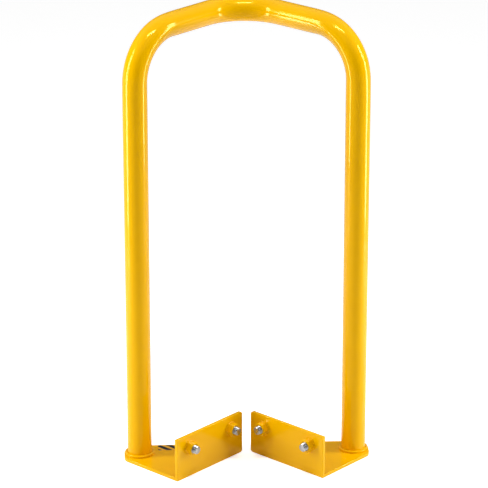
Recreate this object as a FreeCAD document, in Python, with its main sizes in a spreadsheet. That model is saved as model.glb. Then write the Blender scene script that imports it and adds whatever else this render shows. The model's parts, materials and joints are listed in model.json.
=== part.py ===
import FreeCAD, Part
import Sketcher
import os

# A hoop guard for a corner: one bent steel tube stands on two welded feet. Each foot is a base plate and an
# upright plate, and the two uprights make a V that takes the corner of what is guarded. Two bolts in each
# upright run through welded nuts and bear on it. X is to the right, Y is towards the corner of the hoop and
# Z is up. The origin is on the floor, below the middle of the guard's box.

doc = FreeCAD.newDocument("corner_hoop_guard")

# Driving dimensions, in millimetres and degrees.
SIZES = [
    ("overall_height", 1066.8),     # 42 inches, floor to the top of the bar
    ("post_spacing", 508),          # 20 inches, centre to centre
    ("tube_diameter", 57.15),       # 2 1/4 inch tube
    ("tube_wall", 3.2),
    ("bend_radius", 114.3),         # centreline, one die for all three bends
    ("wing_angle", 45),             # from the X axis to each wing of the V
    ("plate_thickness", 7.94),
    ("upright_length", 226),
    ("upright_height", 105),
    ("upright_corner", 7),
    ("tip_gap", 19.4),              # between the rear ends of the uprights' faces
    ("post_along", 46),             # from the foot's front edge to the post's centre
    ("base_border", 8),             # from the tube to the plate's outer edges
    ("base_corner", 25),
    ("rear_reach", 22),             # from the post's centre to the rear corner of the base plate
    ("base_end_width", 44),
    ("post_weld_leg", 6),
    ("plate_weld_leg", 5),
    ("plate_weld_inset", 12),
    ("bolt_inset", 42),             # from each end of the upright
    ("bolt_height", 74),
    ("bolt_diameter", 19.05),       # 3/4 inch
    ("bolt_length", 38.1),          # 1 1/2 inch, under the head
    ("bolt_tip_chamfer", 1.5),
    ("head_flats", 28.58),
    ("head_height", 12.1),
    ("nut_flats", 28.58),
    ("nut_height", 16.3),
    ("nut_weld_leg", 2.5),
    ("thread_gap", 0.05),           # bolt to nut, on the radius
    ("hole_gap", 0.8),              # bolt to plate and bolt to washer, on the radius
    ("washer_diameter", 37.3),
    ("washer_thickness", 3.4),
    ("label_length", 100),
    ("label_width", 28),
    ("label_thickness", 0.3),
    ("label_start", 54),            # from the rear corner, along the rear edge
    ("label_inset", 3),
]

# Places that follow from them.
PLACES = [
    ("half_spacing", "sizes.post_spacing / 2"),
    ("tube_radius", "sizes.tube_diameter / 2"),
    ("bar_height", "sizes.overall_height - places.tube_radius"),
    ("wing_cos", "cos(sizes.wing_angle)"),
    ("wing_sin", "sin(sizes.wing_angle)"),
    ("foot_x", "sizes.tip_gap / 2 + sizes.upright_length * places.wing_cos"),
    ("post_out", "(places.half_spacing + sizes.post_along * places.wing_cos - places.foot_x) / places.wing_sin"),
    ("post_behind_foot", "sizes.post_along * places.wing_sin + places.post_out * places.wing_cos"),
    ("apex_reach", "places.half_spacing * places.wing_sin / places.wing_cos"
                   " - sizes.bend_radius * (1 / places.wing_cos - 1)"),
    ("post_y", "(places.post_behind_foot - places.apex_reach - places.tube_radius) / 2"),
    ("foot_y", "places.post_y - places.post_behind_foot"),
    ("apex_y", "places.post_y + places.apex_reach"),
    ("leg_length", "places.half_spacing / places.wing_cos"
                   " - sizes.bend_radius * (1 + places.wing_sin / places.wing_cos)"),
    ("base_margin", "places.tube_radius + sizes.base_border"),
    ("base_width", "places.post_out + places.base_margin"),
    ("cut_start", "places.post_out + (places.base_margin - sizes.post_along * places.wing_cos)"
                  " / places.wing_sin"),
    ("cut_end", "sizes.post_along - places.base_margin * (1 - places.wing_sin) / places.wing_cos"),
    ("rear_corner", "sizes.post_along + sizes.rear_reach"),
    ("rear_run", "sizes.upright_length - places.rear_corner"),
    ("rear_drop", "places.base_width - sizes.base_end_width"),
    ("rear_edge", "sqrt(places.rear_run ^ 2 + places.rear_drop ^ 2)"),
    ("rear_cos", "places.rear_run / places.rear_edge"),
    ("rear_sin", "places.rear_drop / places.rear_edge"),
    ("head_seat", "sizes.plate_thickness + sizes.washer_thickness"),
    ("bolt_radius", "sizes.bolt_diameter / 2"),
    ("clearance_radius", "places.bolt_radius + sizes.hole_gap"),
]

sizes = doc.addObject("Spreadsheet::Sheet", "sizes")
for row, (word, number) in enumerate(SIZES, start=1):
    sizes.set(f"A{row}", word)
    sizes.set(f"B{row}", str(number))
    sizes.setAlias(f"B{row}", word)
doc.recompute()

places = doc.addObject("App::VarSet", "places")
for word, formula in PLACES:
    places.addProperty("App::PropertyFloat", word)
    places.setExpression(word, formula)
    doc.recompute()


def value(expression):
    """The number that an expression gives now."""
    number = places.evalExpression(expression)
    return float(getattr(number, "Value", number))


def new_body(name, wing=0, spot=("0", "0")):
    """A body. A wing of -1 or 1 sets it on the left or right foot, spot (along, up) from the foot's corner."""
    body = doc.addObject("PartDesign::Body", name)
    body.Label = name
    if wing:
        along, up = spot
        axis = FreeCAD.Vector(0, 0, -wing)
        body.Placement = FreeCAD.Placement(FreeCAD.Vector(), FreeCAD.Rotation(axis, value("sizes.wing_angle")))
        body.setExpression("Placement.Rotation.Angle", "sizes.wing_angle")
        body.setExpression("Placement.Base.x", f"{wing} * (places.foot_x - ({along}) * places.wing_cos)")
        body.setExpression("Placement.Base.y", f"places.foot_y + ({along}) * places.wing_sin")
        body.setExpression("Placement.Base.z", up)
    return body


def origin_plane(body, role):
    return next(item for item in body.Origin.OriginFeatures if item.Role == role)


def new_sketch(body, name, plane, lift="0"):
    """A sketch on one of the body's origin planes, lifted along that plane's normal."""
    sketch = body.newObject("Sketcher::SketchObject", name)
    sketch.AttachmentSupport = [(origin_plane(body, plane), "")]
    sketch.MapMode = "FlatFace"
    if lift != "0":
        sketch.setExpression("AttachmentOffset.Base.z", lift)
    return sketch


def bind(sketch, kind, places_in_sketch, expression):
    """One dimension of a sketch, tied to an expression."""
    index = sketch.addConstraint(Sketcher.Constraint(kind, *places_in_sketch, value(expression)))
    sketch.setExpression(f"Constraints[{index}]", expression)


def pin_point(sketch, geometry, vertex, spot):
    """Tie a point of the sketch to two expressions, measured from the sketch's origin."""
    for kind, axis, expression in (("DistanceX", -2, spot[0]), ("DistanceY", -1, spot[1])):
        if expression == "0":
            sketch.addConstraint(Sketcher.Constraint("PointOnObject", geometry, vertex, axis))
        else:
            bind(sketch, kind, (-1, 1, geometry, vertex), expression)


def draw_polygon(sketch, corners):
    """A closed outline of straight lines through corners, each a pair of expressions."""
    points = [FreeCAD.Vector(value(x), value(y), 0) for x, y in corners]
    first = sketch.GeometryCount
    count = len(points)
    for i, point in enumerate(points):
        sketch.addGeometry(Part.LineSegment(point, points[(i + 1) % count]), False)
    for i in range(count):
        following = first + (i + 1) % count
        sketch.addConstraint(Sketcher.Constraint("Coincident", first + i, 2, following, 1))
    for i, corner in enumerate(corners):
        pin_point(sketch, first + i, 1, corner)


def draw_circle(sketch, centre, radius):
    """A circle whose centre and radius are expressions."""
    middle = FreeCAD.Vector(value(centre[0]), value(centre[1]), 0)
    circle = sketch.addGeometry(Part.Circle(middle, FreeCAD.Vector(0, 0, 1), value(radius)), False)
    if centre == ("0", "0"):
        sketch.addConstraint(Sketcher.Constraint("Coincident", circle, 3, -1, 1))
    else:
        pin_point(sketch, circle, 3, centre)
    bind(sketch, "Radius", (circle,), radius)


def draw_ring(sketch, centre):
    """The tube's section."""
    draw_circle(sketch, centre, "places.tube_radius")
    draw_circle(sketch, centre, "places.tube_radius - sizes.tube_wall")


def draw_axis(sketch, start, end):
    """A construction line that a section turns about."""
    points = [FreeCAD.Vector(value(x), value(y), 0) for x, y in (start, end)]
    line = sketch.addGeometry(Part.LineSegment(*points), True)
    pin_point(sketch, line, 1, start)
    pin_point(sketch, line, 2, end)


def hexagon(flats):
    """Corners of a hexagon with a pair of flats at the top and bottom."""
    half_flat = f"{flats} / 2"
    half_side = f"{flats} / 2 / sqrt(3)"
    corner = f"{flats} / sqrt(3)"
    return [(corner, "0"), (half_side, half_flat), (f"-{half_side}", half_flat),
            (f"-{corner}", "0"), (f"-{half_side}", f"-{half_flat}"), (half_side, f"-{half_flat}")]


def add_feature(body, kind, name, sketch, **settings):
    """A feature that uses a sketch. A text setting is an expression, unless the property is text itself."""
    feature = body.newObject(f"PartDesign::{kind}", name)
    feature.Profile = sketch
    for setting, content in settings.items():
        if isinstance(content, str):
            feature.setExpression(setting, content)
        else:
            setattr(feature, setting, content)
    doc.recompute()
    return feature


def must_cut(feature, before):
    """A cut that points away from the solid removes nothing and says nothing, so the volumes are compared."""
    if feature.Shape.Volume > before - 1e-3:
        raise RuntimeError(f"{feature.Name} cut nothing")


def edges_at(feature, test):
    """Names of the feature's edges whose two ends pass a test."""
    found = []
    for i, edge in enumerate(feature.Shape.Edges, start=1):
        ends = [vertex.Point for vertex in edge.Vertexes]
        if len(ends) == 2 and all(test(end) for end in ends):
            found.append(f"Edge{i}")
    return found


def round_edges(body, name, feature, edges, radius):
    fillet = body.newObject("PartDesign::Fillet", name)
    fillet.Base = (feature, edges)
    fillet.setExpression("Radius", radius)
    doc.recompute()
    return fillet


def near(a, b):
    return abs(a - b) < 1e-4


def make_hoop_tube():
    """Apex bend, then one leg, corner bend and post, then their mirror image."""
    body = new_body("hoop_tube")

    section = new_sketch(body, "apex_section", "YZ_Plane")
    draw_ring(section, ("places.apex_y", "places.bar_height"))
    turn_y = "places.apex_y - sizes.bend_radius"
    draw_axis(section, (turn_y, "0"), (turn_y, "places.bar_height"))
    add_feature(body, "Revolution", "apex_bend", section, ReferenceAxis=(section, ["Axis0"]),
                Angle="2 * sizes.wing_angle", Midplane=True)

    bend_end_x = "-places.half_spacing + sizes.bend_radius * places.wing_cos"
    bend_end_y = "places.post_y + sizes.bend_radius * places.wing_sin"
    section = new_sketch(body, "leg_section", "XZ_Plane", lift=f"-({bend_end_y})")
    section.AttachmentOffset = FreeCAD.Placement(
        FreeCAD.Vector(), FreeCAD.Rotation(FreeCAD.Vector(0, 1, 0), value("90 + sizes.wing_angle")))
    section.setExpression("AttachmentOffset.Rotation.Angle", "90 + sizes.wing_angle")
    section.setExpression("AttachmentOffset.Base.x", bend_end_x)
    section.setExpression("AttachmentOffset.Base.y", "places.bar_height")
    draw_ring(section, ("0", "0"))
    leg = add_feature(body, "Pad", "leg", section, Length="places.leg_length")

    bend_start = "places.bar_height - sizes.bend_radius"
    post_centre = ("-places.half_spacing", "places.post_y")
    section = new_sketch(body, "corner_section", "XY_Plane", lift=bend_start)
    draw_ring(section, post_centre)
    draw_axis(section, (bend_end_x, bend_end_y),
              (f"{bend_end_x} - sizes.bend_radius * places.wing_sin",
               f"{bend_end_y} + sizes.bend_radius * places.wing_cos"))
    corner = add_feature(body, "Revolution", "corner_bend", section, ReferenceAxis=(section, ["Axis0"]),
                         Angle=90.0)

    section = new_sketch(body, "post_section", "XY_Plane", lift="sizes.plate_thickness")
    draw_ring(section, post_centre)
    post = add_feature(body, "Pad", "post", section, Length=f"{bend_start} - sizes.plate_thickness")

    mirror = body.newObject("PartDesign::Mirrored", "other_half")
    mirror.Originals = [leg, corner, post]
    mirror.MirrorPlane = (origin_plane(body, "YZ_Plane"), [""])
    body.Tip = mirror
    doc.recompute()
    return body


def make_base_plate(side, wing):
    """The plate on the floor. It butts against the upright and keeps a border round the post."""
    body = new_body(f"{side}_base_plate", wing)
    sketch = new_sketch(body, f"{side}_base_outline", "XY_Plane")
    outline = [("0", "sizes.plate_thickness"), ("0", "places.cut_start"), ("places.cut_end", "places.base_width"),
               ("places.rear_corner", "places.base_width"), ("sizes.upright_length", "sizes.base_end_width"),
               ("sizes.upright_length", "sizes.plate_thickness")]
    draw_polygon(sketch, [(along_wing(along, wing), out) for along, out in outline])
    plate = add_feature(body, "Pad", f"{side}_base_pad", sketch, Length="sizes.plate_thickness")

    corners = [(value(along), value(out)) for along, out in outline[1:4]]
    edges = edges_at(plate, lambda p: any(near(abs(p.x), x) and near(p.y, y) for x, y in corners))
    uprights = [name for name in edges if near(plate.Shape.getElement(name).Length, value("sizes.plate_thickness"))]
    round_edges(body, f"{side}_base_corners", plate, uprights, "sizes.base_corner")
    return body


def along_wing(expression, wing):
    """The wings mirror each other, so the right one counts its distances along the plate backwards."""
    if expression == "0" or wing < 0:
        return expression
    return f"-({expression})"


def make_upright_plate(side, wing):
    """The plate that faces the guarded corner, with a clearance hole for each bolt."""
    body = new_body(f"{side}_upright_plate", wing)
    sketch = new_sketch(body, f"{side}_upright_outline", "XZ_Plane")
    far_end = along_wing("sizes.upright_length", wing)
    draw_polygon(sketch, [("0", "0"), (far_end, "0"), (far_end, "sizes.upright_height"),
                          ("0", "sizes.upright_height")])
    for along in BOLT_STATIONS.values():
        draw_circle(sketch, (along_wing(along, wing), "sizes.bolt_height"), "places.clearance_radius")
    plate = add_feature(body, "Pad", f"{side}_upright_pad", sketch, Length="sizes.plate_thickness", Reversed=True)

    end = value("sizes.upright_length")
    thickness = value("sizes.plate_thickness")
    edges = [name for name in edges_at(plate, lambda p: near(abs(p.x), end))
             if near(plate.Shape.getElement(name).Length, thickness)]
    round_edges(body, f"{side}_upright_corners", plate, edges, "sizes.upright_corner")
    return body


def make_post_weld(side, wing):
    """A hollow fillet of weld round the foot of the post."""
    body = new_body(f"{side}_post_weld")
    body.setExpression("Placement.Base.x", f"{wing} * places.half_spacing")
    body.setExpression("Placement.Base.y", "places.post_y")
    body.setExpression("Placement.Base.z", "sizes.plate_thickness")
    sketch = new_sketch(body, f"{side}_post_weld_section", "XZ_Plane")
    tube = value("places.tube_radius")
    leg = value("sizes.post_weld_leg")
    toe = FreeCAD.Vector(tube + leg, 0, 0)
    root = FreeCAD.Vector(tube, 0, 0)
    top = FreeCAD.Vector(tube, leg, 0)
    hollow = FreeCAD.Vector(tube + leg * 0.42, leg * 0.42, 0)
    sketch.addGeometry(Part.LineSegment(toe, root), False)
    sketch.addGeometry(Part.LineSegment(root, top), False)
    sketch.addGeometry(Part.Arc(top, hollow, toe), False)
    for first, first_end, second, second_end in ((0, 2, 1, 1), (1, 2, 2, 1), (2, 2, 0, 1)):
        sketch.addConstraint(Sketcher.Constraint("Coincident", first, first_end, second, second_end))
    pin_point(sketch, 0, 1, ("places.tube_radius + sizes.post_weld_leg", "0"))
    pin_point(sketch, 1, 1, ("places.tube_radius", "0"))
    pin_point(sketch, 2, 1, ("places.tube_radius", "sizes.post_weld_leg"))
    bind(sketch, "Radius", (2,), "sizes.post_weld_leg * 2")
    add_feature(body, "Revolution", f"{side}_post_weld_turn", sketch, ReferenceAxis=(sketch, ["V_Axis"]),
                Angle=360.0)
    return body


def make_plate_weld(side, wing):
    """The weld in the corner between the base plate and the upright, on the post's side."""
    body = new_body(f"{side}_plate_weld", wing)
    lift = along_wing("sizes.plate_weld_inset", wing)
    sketch = new_sketch(body, f"{side}_plate_weld_section", "YZ_Plane", lift=lift)
    toe = "sizes.plate_thickness + sizes.plate_weld_leg"
    draw_polygon(sketch, [("sizes.plate_thickness", "sizes.plate_thickness"), (toe, "sizes.plate_thickness"),
                          ("sizes.plate_thickness", toe)])
    add_feature(body, "Pad", f"{side}_plate_weld_run", sketch, Reversed=wing > 0,
                Length="sizes.upright_length - 2 * sizes.plate_weld_inset")
    return body


def chamfer_hexagon(body, name, flats, face, depth_sign):
    """Turn the six corners of a hexagon back at 30 degrees, as on a forged head or nut. The bolt's axis is Y."""
    before = body.Shape.Volume
    sketch = new_sketch(body, f"{name}_corner_section", "XY_Plane")
    inner = f"{flats} / 2 * 0.97"
    outer = f"{flats} / sqrt(3) + 1"
    depth = f"({outer} - {inner}) * tan(30)"
    back = f"{face} {'+' if depth_sign > 0 else '-'} {depth}"
    draw_polygon(sketch, [(inner, face), (outer, back), (outer, face)])
    cut = add_feature(body, "Groove", f"{name}_corners", sketch, ReferenceAxis=(sketch, ["V_Axis"]), Angle=360.0)
    must_cut(cut, before)


def make_nut(name, wing, spot):
    """A hex nut, welded to the upright's face. Its thread is a plain bore."""
    body = new_body(name, wing, spot)
    sketch = new_sketch(body, f"{name}_outline", "XZ_Plane")
    draw_polygon(sketch, hexagon("sizes.nut_flats"))
    draw_circle(sketch, ("0", "0"), "places.bolt_radius + sizes.thread_gap")
    add_feature(body, "Pad", f"{name}_pad", sketch, Length="sizes.nut_height")
    chamfer_hexagon(body, name, "sizes.nut_flats", "-sizes.nut_height", 1)
    return body


def make_nut_weld(name, wing, spot):
    """A small bead round the nut, sloping from the plate up to the nut's sides."""
    body = new_body(name, wing, spot)
    sketch = new_sketch(body, f"{name}_outline", "XZ_Plane")
    draw_polygon(sketch, hexagon("(sizes.nut_flats + 2 * sizes.nut_weld_leg)"))
    add_feature(body, "Pad", f"{name}_pad", sketch, Length="sizes.nut_weld_leg", TaperAngle=-40.0)
    before = body.Shape.Volume
    sketch = new_sketch(body, f"{name}_seat", "XZ_Plane")
    draw_polygon(sketch, hexagon("sizes.nut_flats"))
    cut = add_feature(body, "Pocket", f"{name}_pocket", sketch, Length="2 * sizes.nut_weld_leg", Midplane=True)
    must_cut(cut, before)
    return body


def make_washer(name, wing, spot):
    """A flat washer between the upright and the bolt's head."""
    body = new_body(name, wing, spot)
    sketch = new_sketch(body, f"{name}_outline", "XZ_Plane", lift="-sizes.plate_thickness")
    draw_circle(sketch, ("0", "0"), "sizes.washer_diameter / 2")
    draw_circle(sketch, ("0", "0"), "places.clearance_radius")
    add_feature(body, "Pad", f"{name}_pad", sketch, Length="sizes.washer_thickness", Reversed=True)
    return body


def make_bolt(name, wing, spot):
    """A hex bolt whose end stands out of the nut. Its thread is a plain shank."""
    body = new_body(name, wing, spot)
    sketch = new_sketch(body, f"{name}_shank_section", "XY_Plane")
    tip = "places.head_seat - sizes.bolt_length"
    draw_polygon(sketch, [("0", tip), ("places.bolt_radius - sizes.bolt_tip_chamfer", tip),
                          ("places.bolt_radius", f"{tip} + sizes.bolt_tip_chamfer"),
                          ("places.bolt_radius", "places.head_seat"), ("0", "places.head_seat")])
    add_feature(body, "Revolution", f"{name}_shank", sketch, ReferenceAxis=(sketch, ["V_Axis"]), Angle=360.0)
    sketch = new_sketch(body, f"{name}_head_outline", "XZ_Plane", lift="-places.head_seat")
    draw_polygon(sketch, hexagon("sizes.head_flats"))
    add_feature(body, "Pad", f"{name}_head", sketch, Length="sizes.head_height", Reversed=True)
    chamfer_hexagon(body, name, "sizes.head_flats", "places.head_seat + sizes.head_height", -1)
    return body


def make_label(wing):
    """A thin sticker along the rear edge of the left base plate."""
    body = new_body("hazard_label", wing, ("0", "sizes.plate_thickness"))
    sketch = new_sketch(body, "label_outline", "XY_Plane")
    corners = []
    for along, inwards in (("sizes.label_start", "sizes.label_inset"),
                           ("sizes.label_start", "(sizes.label_inset + sizes.label_width)"),
                           ("(sizes.label_start + sizes.label_length)",
                            "(sizes.label_inset + sizes.label_width)"),
                           ("(sizes.label_start + sizes.label_length)", "sizes.label_inset")):
        corners.append((f"places.rear_corner + {along} * places.rear_cos - {inwards} * places.rear_sin",
                        f"places.base_width - {along} * places.rear_sin - {inwards} * places.rear_cos"))
    draw_polygon(sketch, corners)
    add_feature(body, "Pad", "label_pad", sketch, Length="sizes.label_thickness")
    return body


# Where the bolts sit along each upright.
BOLT_STATIONS = {
    "front": "sizes.bolt_inset",
    "rear": "sizes.upright_length - sizes.bolt_inset",
}
FASTENERS = {"nut": make_nut, "nut_weld": make_nut_weld, "washer": make_washer, "bolt": make_bolt}

nodes = [make_hoop_tube()]
for side, wing in (("left", -1), ("right", 1)):
    for make_piece in (make_base_plate, make_upright_plate, make_post_weld, make_plate_weld):
        nodes.append(make_piece(side, wing))
    for station, along in BOLT_STATIONS.items():
        for word, make_piece in FASTENERS.items():
            nodes.append(make_piece(f"{side}_{station}_{word}", wing, (along, "sizes.bolt_height")))
nodes.append(make_label(-1))
doc.recompute()

for item in doc.Objects:
    if "Invalid" in item.State or "Error" in item.State:
        raise RuntimeError(f"{item.Name} failed: {item.State}")
for node in nodes:
    if node.Shape.isNull() or not node.Shape.isValid() or len(node.Shape.Solids) != 1:
        raise RuntimeError(f"{node.Label} is not one valid solid")

os.makedirs("parts", exist_ok=True)
for node in nodes:
    node.Shape.exportStep(os.path.join("parts", f"{node.Label}.step"))
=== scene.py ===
import json
import math
import random

import bmesh
import bpy
import numpy as np
from mathutils import Matrix, Vector


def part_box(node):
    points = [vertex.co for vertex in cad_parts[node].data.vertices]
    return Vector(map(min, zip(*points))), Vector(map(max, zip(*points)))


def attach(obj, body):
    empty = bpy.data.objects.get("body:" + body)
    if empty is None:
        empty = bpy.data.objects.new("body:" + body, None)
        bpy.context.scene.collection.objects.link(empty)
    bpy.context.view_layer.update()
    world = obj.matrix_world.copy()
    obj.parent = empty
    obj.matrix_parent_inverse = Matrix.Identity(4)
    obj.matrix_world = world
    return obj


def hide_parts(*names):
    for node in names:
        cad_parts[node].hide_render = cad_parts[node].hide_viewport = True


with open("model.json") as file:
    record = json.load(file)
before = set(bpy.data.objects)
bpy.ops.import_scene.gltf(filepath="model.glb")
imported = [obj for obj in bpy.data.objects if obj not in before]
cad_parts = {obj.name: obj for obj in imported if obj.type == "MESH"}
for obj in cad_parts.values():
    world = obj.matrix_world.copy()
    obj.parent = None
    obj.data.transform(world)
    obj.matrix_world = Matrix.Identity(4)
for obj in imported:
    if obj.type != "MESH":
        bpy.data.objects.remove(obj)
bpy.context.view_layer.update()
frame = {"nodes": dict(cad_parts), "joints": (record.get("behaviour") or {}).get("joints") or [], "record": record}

MM = 0.001
UP = Vector((0, 0, 1))
NODES = frame["nodes"]
JOINTS = {joint["name"]: joint for joint in frame["joints"]}
BODY_OF = {node: body for body, nodes in frame["record"]["behaviour"]["bodies"].items() for node in nodes}
SIDES = ("left", "right")
STATIONS = ("front", "rear")


# Finishes.

def linear(colour):
    """An sRGB hex value as the linear colour that a shader takes."""
    parts = [int(colour[i:i + 2], 16) / 255 for i in (1, 3, 5)]
    return [p / 12.92 if p <= 0.04045 else ((p + 0.055) / 1.055) ** 2.4 for p in parts] + [1.0]


def add(tree, kind, settings=(), values=(), links=()):
    """Adds a node. Settings are its own fields, values go on its inputs, links bring other nodes' outputs."""
    node = tree.nodes.new(kind)
    for name, setting in dict(settings).items():
        setattr(node, name, setting)
    for name, value in dict(values).items():
        node.inputs[name].default_value = value
    for name, (source, output) in dict(links).items():
        tree.links.new(source.outputs[output], node.inputs[name])
    return node


def start_finish(name, **values):
    """A new material, its node tree, its shader and the coordinates of the piece, in metres."""
    finish = bpy.data.materials.new(name)
    finish.use_nodes = True
    tree = finish.node_tree
    shader = tree.nodes["Principled BSDF"]
    for socket, value in values.items():
        shader.inputs[socket.replace("_", " ").title().replace("Ior", "IOR")].default_value = value
    place = add(tree, "ShaderNodeTexCoord")
    return finish, tree, shader, place


def cells_of(size_mm):
    """Noise scale whose blotches are about this many millimetres across."""
    return 1 / (size_mm * MM)


def powder_coat():
    # Polyester powder coat, sprayed and baked over blasted steel: glossy, with a soft orange peel.
    finish, tree, shader, place = start_finish(
        "yellow_polyester_powder_coat", roughness=0.15, ior=1.5, specular_ior_level=0.65,
        specular_tint=linear("#FFC61C"), coat_weight=0.17, coat_roughness=0.06, coat_ior=1.5)
    # The film is a little thicker in places, over hand-sized patches.
    patches = add(tree, "ShaderNodeTexNoise", values={"Scale": cells_of(70), "Detail": 3, "Roughness": 0.55},
                  links={"Vector": (place, "Object")})
    tone = add(tree, "ShaderNodeMix", {"data_type": "RGBA"},
               {"A": linear("#F7BD00"), "B": linear("#F0B300")}, {"Factor": (patches, "Fac")})
    tree.links.new(tone.outputs["Result"], shader.inputs["Base Color"])
    # Gloss drifts from spot to spot.
    drift = add(tree, "ShaderNodeTexNoise", values={"Scale": cells_of(18), "Detail": 2},
                links={"Vector": (place, "Object")})
    gloss = add(tree, "ShaderNodeMapRange", values={"To Min": 0.11, "To Max": 0.19},
                links={"Value": (drift, "Fac")})
    tree.links.new(gloss.outputs["Result"], shader.inputs["Roughness"])
    # Orange peel is 1 to 2 mm across on the real coat, and is drawn at 3 mm so that it shows.
    peel = add(tree, "ShaderNodeTexNoise", values={"Scale": cells_of(3), "Detail": 1, "Roughness": 0.4},
               links={"Vector": (place, "Object")})
    skin = add(tree, "ShaderNodeBump", values={"Strength": 0.12, "Distance": 0.25 * MM},
               links={"Height": (peel, "Fac")})
    tree.links.new(skin.outputs["Normal"], shader.inputs["Normal"])
    return finish


def zinc_plate():
    # Bright zinc, electroplated on turned and rolled steel: a cool grey shine with faint clouds.
    finish, tree, shader, place = start_finish("bright_zinc_plated_steel", metallic=1.0, roughness=0.28)
    clouds = add(tree, "ShaderNodeTexNoise", values={"Scale": cells_of(6), "Detail": 4, "Roughness": 0.6},
                 links={"Vector": (place, "Object")})
    tone = add(tree, "ShaderNodeMix", {"data_type": "RGBA"},
               {"A": linear("#C9CCCF"), "B": linear("#9EA2A8")}, {"Factor": (clouds, "Fac")})
    tree.links.new(tone.outputs["Result"], shader.inputs["Base Color"])
    gloss = add(tree, "ShaderNodeMapRange", values={"To Min": 0.18, "To Max": 0.38},
                links={"Value": (clouds, "Fac")})
    tree.links.new(gloss.outputs["Result"], shader.inputs["Roughness"])
    # Fine pits of the plated surface, 0.3 mm on the real bolt and drawn at 0.8 mm.
    pits = add(tree, "ShaderNodeTexNoise", values={"Scale": cells_of(0.8), "Detail": 2},
               links={"Vector": (place, "Object")})
    skin = add(tree, "ShaderNodeBump", values={"Strength": 0.15, "Distance": 0.05 * MM},
               links={"Height": (pits, "Fac")})
    tree.links.new(skin.outputs["Normal"], shader.inputs["Normal"])
    return finish


BAR_PITCH = 26 * MM    # one black bar and one gap, along the label
BAR_GAP = 0.42         # the gap's share of that


def label_film(turn):
    # Cast vinyl film, screen printed with black bars under a clear laminate, so a smooth satin shine.
    finish, tree, shader, place = start_finish(
        "screen_printed_vinyl_film", roughness=0.33, ior=1.5, coat_weight=0.4, coat_roughness=0.15)
    along = add(tree, "ShaderNodeMapping", values={"Rotation": (0, 0, -turn)},
                links={"Vector": (place, "Object")})
    split = add(tree, "ShaderNodeSeparateXYZ", links={"Vector": (along, "Vector")})
    slant = add(tree, "ShaderNodeMath", {"operation": "ADD"}, links={0: (split, "X"), 1: (split, "Y")})
    count = add(tree, "ShaderNodeMath", {"operation": "MULTIPLY"}, {1: 1 / BAR_PITCH}, {0: (slant, "Value")})
    bar = add(tree, "ShaderNodeMath", {"operation": "FRACT"}, links={0: (count, "Value")})
    inked = add(tree, "ShaderNodeMath", {"operation": "GREATER_THAN"}, {1: BAR_GAP}, {0: (bar, "Value")})
    # The ink lies unevenly, over spots of about 2 mm.
    ink = add(tree, "ShaderNodeTexNoise", values={"Scale": cells_of(2), "Detail": 2},
              links={"Vector": (place, "Object")})
    black = add(tree, "ShaderNodeMix", {"data_type": "RGBA"},
                {"A": linear("#0B0B0C"), "B": linear("#1A1A1B")}, {"Factor": (ink, "Fac")})
    tone = add(tree, "ShaderNodeMix", {"data_type": "RGBA"}, {"A": linear("#F7B80A")},
               {"Factor": (inked, "Value"), "B": (black, "Result")})
    tree.links.new(tone.outputs["Result"], shader.inputs["Base Color"])
    skin = add(tree, "ShaderNodeBump", values={"Strength": 0.1, "Distance": 0.05 * MM},
               links={"Height": (ink, "Fac")})
    tree.links.new(skin.outputs["Normal"], shader.inputs["Normal"])
    return finish


PAPER_GLOW = 0.55      # only the camera sees it, so it throws no light on the guard


def studio_paper():
    # Matt white background paper, rolled out under the guard and faintly lit from below.
    finish, tree, shader, place = start_finish(
        "matt_white_studio_paper", roughness=0.9, specular_ior_level=0.1, emission_color=linear("#FFFFFF"))
    path = add(tree, "ShaderNodeLightPath")
    lit = add(tree, "ShaderNodeMath", {"operation": "MULTIPLY"}, {1: PAPER_GLOW},
              {0: (path, "Is Camera Ray")})
    tree.links.new(lit.outputs["Value"], shader.inputs["Emission Strength"])
    fibres = add(tree, "ShaderNodeTexNoise", values={"Scale": cells_of(40), "Detail": 3},
                 links={"Vector": (place, "Object")})
    tone = add(tree, "ShaderNodeMix", {"data_type": "RGBA"},
               {"A": linear("#FDFDFD"), "B": linear("#FAFAFA")}, {"Factor": (fibres, "Fac")})
    tree.links.new(tone.outputs["Result"], shader.inputs["Base Color"])
    return finish


# Shaping.

def reach(node, direction):
    """How near and how far a CAD node lies along a direction."""
    spans = [vertex.co.dot(direction) for vertex in NODES[node].data.vertices]
    return min(spans), max(spans)


def finish_piece(piece, node, slot, sharp=35):
    """Gives a piece its CAD node's body and its slot's finish. Edges over so many degrees stay crisp."""
    piece.data.materials.clear()
    piece.data.materials.append(FINISHES[slot])
    piece.data.shade_smooth()
    piece.data.set_sharp_from_angle(angle=math.radians(sharp))
    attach(piece, BODY_OF[node])
    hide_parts(node)


def new_piece(name, mesh):
    """Puts a mesh in the scene."""
    piece = bpy.data.objects.new(name, mesh)
    bpy.context.scene.collection.objects.link(piece)
    return piece


def loft(node, rings, slot, joined=False, sharp=35):
    """A closed skin over rings of equally many points. Joined rings make a loop, others get flat ends."""
    count, width = len(rings), len(rings[0])
    faces = []
    for i in range(count if joined else count - 1):
        this, following = i * width, (i + 1) % count * width
        for k in range(width):
            m = (k + 1) % width
            faces.append((this + k, this + m, following + m, following + k))
    if not joined:
        faces += [tuple(range(width - 1, -1, -1)), tuple(range((count - 1) * width, count * width))]
    mesh = bpy.data.meshes.new(f"{node}_finished")
    mesh.from_pydata([point for ring in rings for point in ring], [], faces)
    skin = bmesh.new()
    skin.from_mesh(mesh)
    bmesh.ops.recalc_face_normals(skin, faces=skin.faces)
    skin.to_mesh(mesh)
    skin.free()
    finish_piece(new_piece(f"{node}_finished", mesh), node, slot, sharp)


def smooth_step(low, high, value):
    """Goes gently from 0 at the low value to 1 at the high one."""
    t = min(max((value - low) / (high - low), 0), 1)
    return t * t * (3 - 2 * t)


# The hoop.

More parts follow.
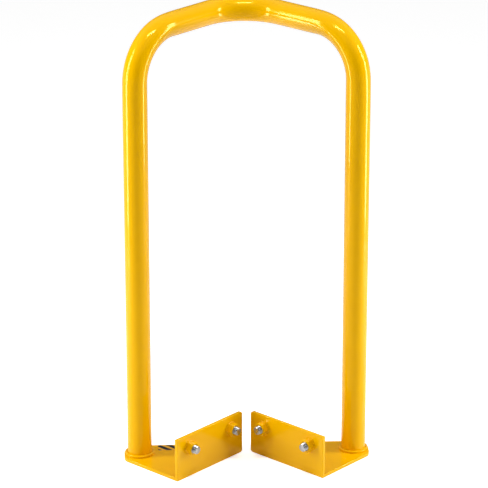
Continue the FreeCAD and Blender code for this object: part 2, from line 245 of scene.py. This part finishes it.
def wing_directions(side):
    """Outwards from the V's face, and backwards along it."""
    outward = Vector(JOINTS[f"{side}_front_bolt_travel"]["axis"]).normalized()
    backward = outward.cross(UP)
    return outward, backward if backward.y > 0 else -backward


def post_place(side):
    """The post's centre, and the height of the plate under it."""
    low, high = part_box(f"{side}_post_weld")
    return (low + high) / 2, low.z


OVAL_RAMP = 22 * MM      # length over which a bend eases into its oval
FLAT_OUTSIDE = 0.055     # how much a bend flattens the tube's outside, of its radius
FLAT_INSIDE = 0.02
SWELL = 0.018            # how much it spreads sideways
TUBE_POINTS = 96
POST_RINGS, BEND_RINGS, LEG_RINGS, APEX_RINGS = 30, 44, 12, 26


def half_hoop(tube_radius):
    """The tube's middle line from the left foot to the nose, and where along it each bend starts and ends.

    Each place on it has its two cross directions and its distance along the tube from the post's top.
    """
    centre, foot = post_place("left")
    _, bar_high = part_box("hoop_tube")
    _, along = wing_directions("left")
    bar = bar_high.z - tube_radius
    apex = bar_high.y - tube_radius
    rise = along.y / along.x
    # The nose stops short of where the two legs would cross, which gives its bend's radius.
    # The bends over the posts have the same one.
    bend = (-centre.x * rise - (apex - centre.y)) / (1 / along.x - 1)
    level = along.cross(UP)
    places = []
    post_top = bar - bend
    for i in range(POST_RINGS):
        z = foot + (post_top - foot) * i / POST_RINGS
        places.append((Vector((centre.x, centre.y, z)), along, level, z - post_top))
    pivot = Vector((centre.x, centre.y, post_top)) + along * bend
    quarter = bend * math.pi / 2
    for i in range(BEND_RINGS):
        turn = math.pi / 2 * i / BEND_RINGS
        inward = along * math.cos(turn) - UP * math.sin(turn)
        places.append((pivot - inward * bend, inward, level, bend * turn))
    leg_start = pivot + UP * bend
    wing = math.atan2(along.y, along.x)
    nose_pivot = Vector((0, apex - bend, bar))
    leg_end = nose_pivot + Vector((-math.sin(wing), math.cos(wing), 0)) * bend
    leg = (leg_end - leg_start).length
    for i in range(LEG_RINGS):
        place = leg_start.lerp(leg_end, i / LEG_RINGS)
        places.append((place, -UP, level, quarter + leg * i / LEG_RINGS))
    for i in range(APEX_RINGS + 1):
        heading = wing * (1 - i / APEX_RINGS)
        across = Vector((math.sin(heading), -math.cos(heading), 0))
        places.append((nose_pivot - across * bend, -UP, across, quarter + leg + bend * (wing - heading)))
    return places, quarter, quarter + leg


def oval_ring(place, inward, across, tube_radius, corner, nose):
    """The tube's outline. corner and nose say how far it is into each bend, from 0 to 1."""
    ring = []
    for k in range(TUBE_POINTS):
        angle = 2 * math.pi * k / TUBE_POINTS
        a, b = math.cos(angle), math.sin(angle)
        flat = FLAT_INSIDE if a > 0 else FLAT_OUTSIDE
        a *= 1 - corner * flat + nose * SWELL
        flat = FLAT_INSIDE if b > 0 else FLAT_OUTSIDE
        b *= 1 + corner * SWELL - nose * flat
        ring.append(place + (inward * a + across * b) * tube_radius)
    return ring


def hoop_rings():
    centre, _ = post_place("left")
    bar_low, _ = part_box("hoop_tube")
    tube_radius = centre.x - bar_low.x
    places, corner_end, nose_start = half_hoop(tube_radius)
    rings = []
    for place, inward, across, run in places:
        before_end = 1 - smooth_step(corner_end - OVAL_RAMP, corner_end + OVAL_RAMP, run)
        corner = smooth_step(-OVAL_RAMP, OVAL_RAMP, run) * before_end
        nose = smooth_step(nose_start - OVAL_RAMP, nose_start + OVAL_RAMP, run)
        rings.append(oval_ring(place, inward, across, tube_radius, corner, nose))
    mirrored = [[Vector((-p.x, p.y, p.z)) for p in ring] for ring in reversed(rings[:-1])]
    return rings + mirrored


# Plates and welds.

EDGE_BREAK = 0.9 * MM                   # the coat's thickness softens the cut edges too
EDGE_STEPS = 4
SHARP_EDGE = math.radians(35)
LARGEST_CURVED_FACET = 100 * MM * MM    # anything larger on a plate is flat


def cut_plate(node):
    """A cut plate with its sharp edges broken."""
    mesh = NODES[node].data.copy()
    mesh.name = f"{node}_finished"
    skin = bmesh.new()
    skin.from_mesh(mesh)
    bmesh.ops.remove_doubles(skin, verts=skin.verts, dist=1e-6)
    bmesh.ops.dissolve_limit(skin, angle_limit=math.radians(1), verts=skin.verts, edges=skin.edges)
    sharp_edges = [edge for edge in skin.edges if edge.calc_face_angle(0) > SHARP_EDGE]
    broken = bmesh.ops.bevel(skin, geom=sharp_edges, offset=EDGE_BREAK, segments=EDGE_STEPS,
                             profile=0.5, affect="EDGES")
    skin.faces.index_update()
    rounded = {face.index for face in broken["faces"]}
    skin.to_mesh(mesh)
    skin.free()
    finish_piece(new_piece(f"{node}_finished", mesh), node, "yellow_powder_coat", sharp=180)
    for face in mesh.polygons:
        face.use_smooth = face.index in rounded or face.area < LARGEST_CURVED_FACET


RIPPLE_PITCH = 3.6 * MM    # one puddle of weld metal to the next
RIPPLE_DEPTH = 0.32 * MM
BEAD_STEPS = 9
PUDDLE_SIZES, PUDDLE_HEIGHTS = (0.8, 1.2), (0.6, 1.3)    # how unlike they are
PUDDLE_CROWN = 0.7
BEAD_WAIST, BEAD_BULGE, BEAD_CORNER = 0.80, 0.16, 0.35    # a bead is fuller in the middle than at its toes
BURIED = 0.3 * MM          # how deep a bead goes into the metal that it joins
END_FADE = 5 * MM          # a straight bead thins out over this much at each end
END_HEIGHT = 0.35
POST_BEAD_RINGS, PLATE_BEAD_RINGS, NUT_BEAD_RINGS = 260, 240, 180
# How much larger each bead is drawn than its plain fillet.
POST_BEAD_GROWTH, PLATE_BEAD_GROWTH, NUT_BEAD_GROWTH = 1.12, 1.1, 1.15
NUT_RIPPLE = 0.7           # the small bead's ripples are lower


def bead_ripples(length, seed):
    """Returns how far the bead stands proud at a distance along it. Puddles differ a little in size."""
    draw = random.Random(seed)
    edges = [0.0]
    while edges[-1] < length:
        edges.append(edges[-1] + RIPPLE_PITCH * draw.uniform(*PUDDLE_SIZES))
    edges = [edge * length / edges[-1] for edge in edges]
    heights = [draw.uniform(*PUDDLE_HEIGHTS) for _ in edges]

    def proud(run):
        i = max(j for j, edge in enumerate(edges) if edge <= run + 1e-9)
        i = min(i, len(edges) - 2)
        t = (run - edges[i]) / (edges[i + 1] - edges[i])
        return RIPPLE_DEPTH * heights[i] * math.sin(math.pi * min(max(t, 0), 1)) ** PUDDLE_CROWN
    return proud


def bead_section(leg, proud):
    """A fillet bead's section as (out from the standing face, up from the lying face)."""
    section = [(-BURIED, -BURIED)]
    for i in range(BEAD_STEPS + 1):
        angle = math.pi / 2 * i / BEAD_STEPS
        bulge = BEAD_WAIST + BEAD_BULGE * math.sin(2 * angle)
        full = leg * bulge / max(math.cos(angle), math.sin(angle)) ** BEAD_CORNER
        full += proud * math.sin(2 * angle)
        section.append((full * math.cos(angle), full * math.sin(angle)))
    section.insert(1, (section[1][0], -BURIED))
    section.append((-BURIED, section[-1][1]))
    return section


def post_bead(side, seed):
    node = f"{side}_post_weld"
    centre, foot = post_place(side)
    low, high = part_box(node)
    leg = high.z - low.z
    post_radius = (high.x - low.x) / 2 - leg
    proud = bead_ripples(2 * math.pi * (post_radius + leg / 2), seed)
    base = Vector((centre.x, centre.y, foot))
    rings = []
    for i in range(POST_BEAD_RINGS):
        angle = 2 * math.pi * i / POST_BEAD_RINGS
        out = Vector((math.cos(angle), math.sin(angle), 0))
        section = bead_section(leg * POST_BEAD_GROWTH, proud(angle * (post_radius + leg / 2)))
        rings.append([base + out * (post_radius + o) + UP * u for o, u in section])
    loft(node, rings, "yellow_powder_coat", joined=True, sharp=50)


def plate_bead(side, seed):
    node = f"{side}_plate_weld"
    outward, backward = wing_directions(side)
    start, end = reach(node, backward)
    near, _ = reach(node, outward)
    low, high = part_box(node)
    leg = high.z - low.z
    proud = bead_ripples(end - start, seed)
    rings = []
    for i in range(PLATE_BEAD_RINGS + 1):
        run = (end - start) * i / PLATE_BEAD_RINGS
        fade = min(1, END_HEIGHT + min(run, end - start - run) / END_FADE)
        section = bead_section(leg * PLATE_BEAD_GROWTH * fade, proud(run) * fade)
        base = backward * (start + run) + outward * near + UP * low.z
        rings.append([base + outward * o + UP * u for o, u in section])
    loft(node, rings, "yellow_powder_coat", sharp=50)


# Nuts, washers and bolts.

ROUND_POINTS = 72
BOLT_RADIUS = 9.525 * MM    # three quarters of an inch across
NUT_BORE = BOLT_RADIUS + 0.095 * MM
WASHER_BORE = BOLT_RADIUS + 0.8 * MM
PITCH = 2.54 * MM           # ten threads to the inch
THREAD_DEPTH = 0.6134 * PITCH
THREAD_STEPS = 12           # rings to a thread
CREST, ROOT = 1 / 8, 1 / 4  # the thread's flats, of its pitch
SHARP_CORNER = 28           # degrees


def bolt_frame(side, station):
    """Local x is level, y is up and z runs outwards, from the V's face on the bolt's axis."""
    turn = JOINTS[f"{side}_{station}_bolt_turn"]
    out = Vector(turn["axis"]).normalized()
    level = UP.cross(out)
    return Matrix.Translation(Vector(turn["pos_m"])) @ Matrix((level, UP, out)).transposed().to_4x4()


def span(node, place):
    """Where the node starts and ends along the bolt's axis."""
    out = place.col[2].to_3d()
    near, far = reach(node, out)
    from_origin = place.translation.dot(out)
    return near - from_origin, far - from_origin


def around(place, height, radius_at):
    """A ring round the bolt's axis, with a radius for each angle."""
    ring = []
    for k in range(ROUND_POINTS):
        angle = 2 * math.pi * k / ROUND_POINTS
        radius = radius_at(angle)
        ring.append(place @ Vector((radius * math.cos(angle), radius * math.sin(angle), height)))
    return ring


def hexagon(half_flats, corner, cone=math.inf):
    """Radius of a hexagon with flats above and below. corner blunts its corners, and cone cuts them."""
    def radius_at(angle):
        slant = math.degrees(angle) % 60 - 30
        return min(half_flats / math.cos(math.radians(slant)), half_flats * corner, cone)
    return radius_at


def round_at(radius):
    return lambda angle: radius


def half_height(node):
    """Half of a nut's or a head's flats, or a washer's radius: they all stand upright."""
    low, high = reach(node, UP)
    return (high - low) / 2


CHAMFER_TAN = math.tan(math.radians(60))
CHAMFER_DEPTHS = [depth * MM for depth in (0.0, 0.25, 0.5, 0.8, 1.15, 1.55, 2.0)]
NUT_CORNER, HEAD_CORNER = 1.125, 1.148    # corners against flats; a true hexagon has 1.155
NUT_FACE, HEAD_FACE = 0.965, 0.95         # the end face's circle, against the flats
COUNTERSINK, COUNTERSINK_DEPTH = 1.3 * MM, 1.2 * MM


def hex_nut(side, station, place):
    node = f"{side}_{station}_nut"
    end, base = span(node, place)
    half = half_height(node)
    rings = [around(place, base, hexagon(half, NUT_CORNER))]
    for depth in reversed(CHAMFER_DEPTHS):
        cone = half * NUT_FACE + depth * CHAMFER_TAN
        rings.append(around(place, end + depth, hexagon(half, NUT_CORNER, cone)))
    rings.append(around(place, end, round_at(NUT_BORE + COUNTERSINK)))
    rings.append(around(place, end + COUNTERSINK_DEPTH, round_at(NUT_BORE)))
    rings.append(around(place, base, round_at(NUT_BORE)))
    loft(node, rings, "yellow_powder_coat", joined=True, sharp=SHARP_CORNER)


def nut_bead(side, station, place, seed):
    node = f"{side}_{station}_nut_weld"
    near, far = span(node, place)
    half = half_height(f"{side}_{station}_nut")
    leg = (far - near) * NUT_BEAD_GROWTH
    radius_at = hexagon(half, NUT_CORNER)
    proud = bead_ripples(2 * math.pi * half, seed)
    rings = []
    for i in range(NUT_BEAD_RINGS):
        angle = 2 * math.pi * i / NUT_BEAD_RINGS
        out = Vector((math.cos(angle), math.sin(angle), 0))
        section = bead_section(leg, proud(angle * half) * NUT_RIPPLE)
        rings.append([place @ (out * (radius_at(angle) + o) + Vector((0, 0, far - u))) for o, u in section])
    loft(node, rings, "yellow_powder_coat", joined=True, sharp=50)


PUNCH_ROUND, PUNCH_BURR = 0.7 * MM, 0.2 * MM
PUNCH_STEPS = 4
BORE_EDGE = 0.4 * MM


def flat_washer(side, station, place):
    """A stamped washer: rounded on the punch's side, with a small burr on the other."""
    node = f"{side}_{station}_washer"
    near, far = span(node, place)
    rim = half_height(node)
    profile = [(rim - PUNCH_BURR, near), (rim, near + PUNCH_BURR)]
    for i in range(PUNCH_STEPS + 1):
        angle = math.pi / 2 * i / PUNCH_STEPS
        out, up = PUNCH_ROUND * math.cos(angle), PUNCH_ROUND * math.sin(angle)
        profile.append((rim - PUNCH_ROUND + out, far - PUNCH_ROUND + up))
    profile += [(WASHER_BORE + BORE_EDGE, far), (WASHER_BORE, far - BORE_EDGE)]
    profile += [(WASHER_BORE, near + PUNCH_BURR), (WASHER_BORE + PUNCH_BURR, near)]
    rings = [around(place, height, round_at(radius)) for radius, height in profile]
    loft(node, rings, "zinc_plated_steel", joined=True, sharp=SHARP_CORNER)


TIP_FACE = BOLT_RADIUS - 2.6 * MM    # radius of the flat tip
TIP_START = 0.15 * MM                # the thread begins this far behind the tip
TIP_CUT, TIP_SLOPE = 1.9 * MM, 1.1
HEAD_AIR = 0.03 * MM                 # so that the head and the washer don't share a face
SEAT_FACE, SEAT_RISE = 0.93, 0.6 * MM


def threaded(height, tip):
    """Radius of a right-handed thread, cut down to a cone at the tip."""
    cone = BOLT_RADIUS - TIP_CUT + (height - tip) * TIP_SLOPE

    def radius_at(angle):
        phase = (height / PITCH - angle / (2 * math.pi)) % 1
        rise = min(max((abs(phase - 0.5) - CREST / 2) / (0.5 - ROOT / 2 - CREST / 2), 0), 1)
        return min(BOLT_RADIUS - THREAD_DEPTH * rise, cone)
    return radius_at


def hex_bolt(side, station, place):
    node = f"{side}_{station}_bolt"
    tip, top = span(node, place)
    _, seat = span(f"{side}_{station}_washer", place)
    half = half_height(node)
    rings = [around(place, tip, round_at(TIP_FACE))]
    steps = int((seat - tip) / (PITCH / THREAD_STEPS))
    for i in range(steps + 1):
        height = tip + TIP_START + (seat - tip - TIP_START) * i / steps
        rings.append(around(place, height, threaded(height, tip)))
    # A thin washer face, then the hexagon with its corners cut on a cone.
    seat += HEAD_AIR
    rings.append(around(place, seat, round_at(half * SEAT_FACE)))
    rings.append(around(place, seat + SEAT_RISE, round_at(half * SEAT_FACE)))
    rings.append(around(place, seat + SEAT_RISE, hexagon(half, HEAD_CORNER)))
    for depth in reversed(CHAMFER_DEPTHS):
        cone = half * HEAD_FACE + depth * CHAMFER_TAN
        rings.append(around(place, top - depth, hexagon(half, HEAD_CORNER, cone)))
    loft(node, rings, "zinc_plated_steel", sharp=SHARP_CORNER)


# The hazard label.

def label_sides():
    """The label's middle, its long and short directions and its sizes, from its CAD node's corners."""
    corners = np.array([vertex.co[:] for vertex in NODES["hazard_label"].data.vertices])
    middle = (corners.max(0) + corners.min(0)) / 2
    level = corners[:, :2] - corners[:, :2].mean(0)
    _, directions = np.linalg.eigh(level.T @ level)
    long = Vector((*directions[:, 1], 0))
    long = long if long.x > 0 else -long
    short = UP.cross(long)
    middle = Vector(middle)
    sizes = [np.ptp(corners @ np.array(direction)) for direction in (long, short, UP)]
    return middle, long, short, sizes


LABEL_CORNER = 4 * MM
LABEL_CORNER_POINTS = 8
FILM_EDGE = 0.12 * MM    # the film's top edge is this much inside its foot


def film_label():
    middle, long, short, (length, width, thick) = label_sides()
    rings = []
    for inset, height in ((0.0, -thick / 2), (0.0, thick / 5), (FILM_EDGE, thick / 2)):
        ring = []
        for quadrant in range(4):
            sign_x = 1 if quadrant in (0, 3) else -1
            sign_y = 1 if quadrant in (0, 1) else -1
            for i in range(LABEL_CORNER_POINTS):
                angle = math.pi / 2 * (quadrant + i / (LABEL_CORNER_POINTS - 1))
                x = sign_x * (length / 2 - LABEL_CORNER) + (LABEL_CORNER - inset) * math.cos(angle)
                y = sign_y * (width / 2 - LABEL_CORNER) + (LABEL_CORNER - inset) * math.sin(angle)
                ring.append(middle + long * x + short * y + UP * height)
        rings.append(ring)
    loft("hazard_label", rings, "label_film", sharp=25)


# The guard, put together.

_, label_long, _, _ = label_sides()
FINISHES = {
    "yellow_powder_coat": powder_coat(),
    "zinc_plated_steel": zinc_plate(),
    "label_film": label_film(math.atan2(label_long.y, label_long.x)),
}

POST_SEED, PLATE_SEED, NUT_SEED = 11, 21, 31    # every bead ripples in its own way

loft("hoop_tube", hoop_rings(), "yellow_powder_coat", sharp=60)
for number, side in enumerate(SIDES):
    cut_plate(f"{side}_base_plate")
    cut_plate(f"{side}_upright_plate")
    post_bead(side, POST_SEED + number)
    plate_bead(side, PLATE_SEED + number)
    for step, station in enumerate(STATIONS):
        place = bolt_frame(side, station)
        hex_nut(side, station, place)
        nut_bead(side, station, place, NUT_SEED + number * len(STATIONS) + step)
        flat_washer(side, station, place)
        hex_bolt(side, station, place)
film_label()


# Studio.

FLOOR_REACH = 30.0
ROOM_FRONT, ROOM_BACK, CEILING = 0.01, 0.10, 0.54    # how bright each part of the room is
STRIP_HEIGHT = 1.1
STRIP_SIZE = (0.34, 2.1)
STRIP_WATTS = 33


def white_floor():
    mesh = bpy.data.meshes.new("studio_floor")
    corners = [(-FLOOR_REACH, -FLOOR_REACH, 0), (FLOOR_REACH, -FLOOR_REACH, 0)]
    corners += [(FLOOR_REACH, FLOOR_REACH, 0), (-FLOOR_REACH, FLOOR_REACH, 0)]
    mesh.from_pydata(corners, [], [(0, 1, 2, 3)])
    mesh.materials.append(studio_paper())
    new_piece("studio_floor", mesh)


def soft_box(name, place, aim, size, watts):
    light = bpy.data.lights.new(name, "AREA")
    light.shape = "RECTANGLE"
    light.size, light.size_y = size
    light.energy = watts
    box = bpy.data.objects.new(name, light)
    bpy.context.scene.collection.objects.link(box)
    box.location = place
    box.rotation_euler = (Vector(aim) - Vector(place)).to_track_quat("-Z", "Y").to_euler()
    box.visible_camera = False


def grey(level):
    return (level, level, level, 1)


def surroundings():
    """A big pale ceiling over a dim room that is a little lighter at the back."""
    world = bpy.data.worlds.new("studio_room")
    bpy.context.scene.world = world
    world.use_nodes = True
    tree = world.node_tree
    back = tree.nodes["Background"]
    place = add(tree, "ShaderNodeTexCoord")
    split = add(tree, "ShaderNodeSeparateXYZ", links={"Vector": (place, "Generated")})
    behind = add(tree, "ShaderNodeMapRange", {"interpolation_type": "SMOOTHSTEP"},
                 {"From Min": -0.9, "From Max": 0.2, "To Min": 0.0, "To Max": 1.0}, {"Value": (split, "Y")})
    walls = add(tree, "ShaderNodeMix", {"data_type": "RGBA"}, {"A": grey(ROOM_FRONT), "B": grey(ROOM_BACK)},
                {"Factor": (behind, "Result")})
    overhead = add(tree, "ShaderNodeMapRange", {"interpolation_type": "SMOOTHSTEP"},
                   {"From Min": 0.35, "From Max": 0.75, "To Min": 0.0, "To Max": 1.0},
                   {"Value": (split, "Z")})
    tone = add(tree, "ShaderNodeMix", {"data_type": "RGBA"}, {"B": grey(CEILING)},
               {"Factor": (overhead, "Result"), "A": (walls, "Result")})
    tree.links.new(tone.outputs["Result"], back.inputs["Color"])


white_floor()
surroundings()
for side, x in zip(SIDES, (-1.75, 1.75)):
    soft_box(f"{side}_strip_box", (x, -0.2, STRIP_HEIGHT), (0, 0, STRIP_HEIGHT), STRIP_SIZE, STRIP_WATTS)
soft_box("top_soft_box", (0, -0.5, 2.7), (0, 0, 0.9), (0.9, 0.25), 18)


# Camera.

AIM = Vector((-0.004, 0.0, 0.516))
AZIMUTH, ELEVATION, DISTANCE = math.radians(-3.1), math.radians(20.5), 6.5
LENS, SENSOR = 205.7, 36


def set_camera():
    data = bpy.data.cameras.new("camera")
    data.sensor_width = SENSOR
    data.lens = LENS
    camera = bpy.data.objects.new("camera", data)
    bpy.context.scene.collection.objects.link(camera)
    level = math.cos(ELEVATION)
    towards = Vector((math.sin(AZIMUTH) * level, -math.cos(AZIMUTH) * level, math.sin(ELEVATION)))
    camera.location = AIM + DISTANCE * towards
    camera.rotation_euler = (AIM - camera.location).to_track_quat("-Z", "Y").to_euler()
    bpy.context.scene.camera = camera


set_camera()
bpy.context.scene.view_settings.view_transform = "Standard"
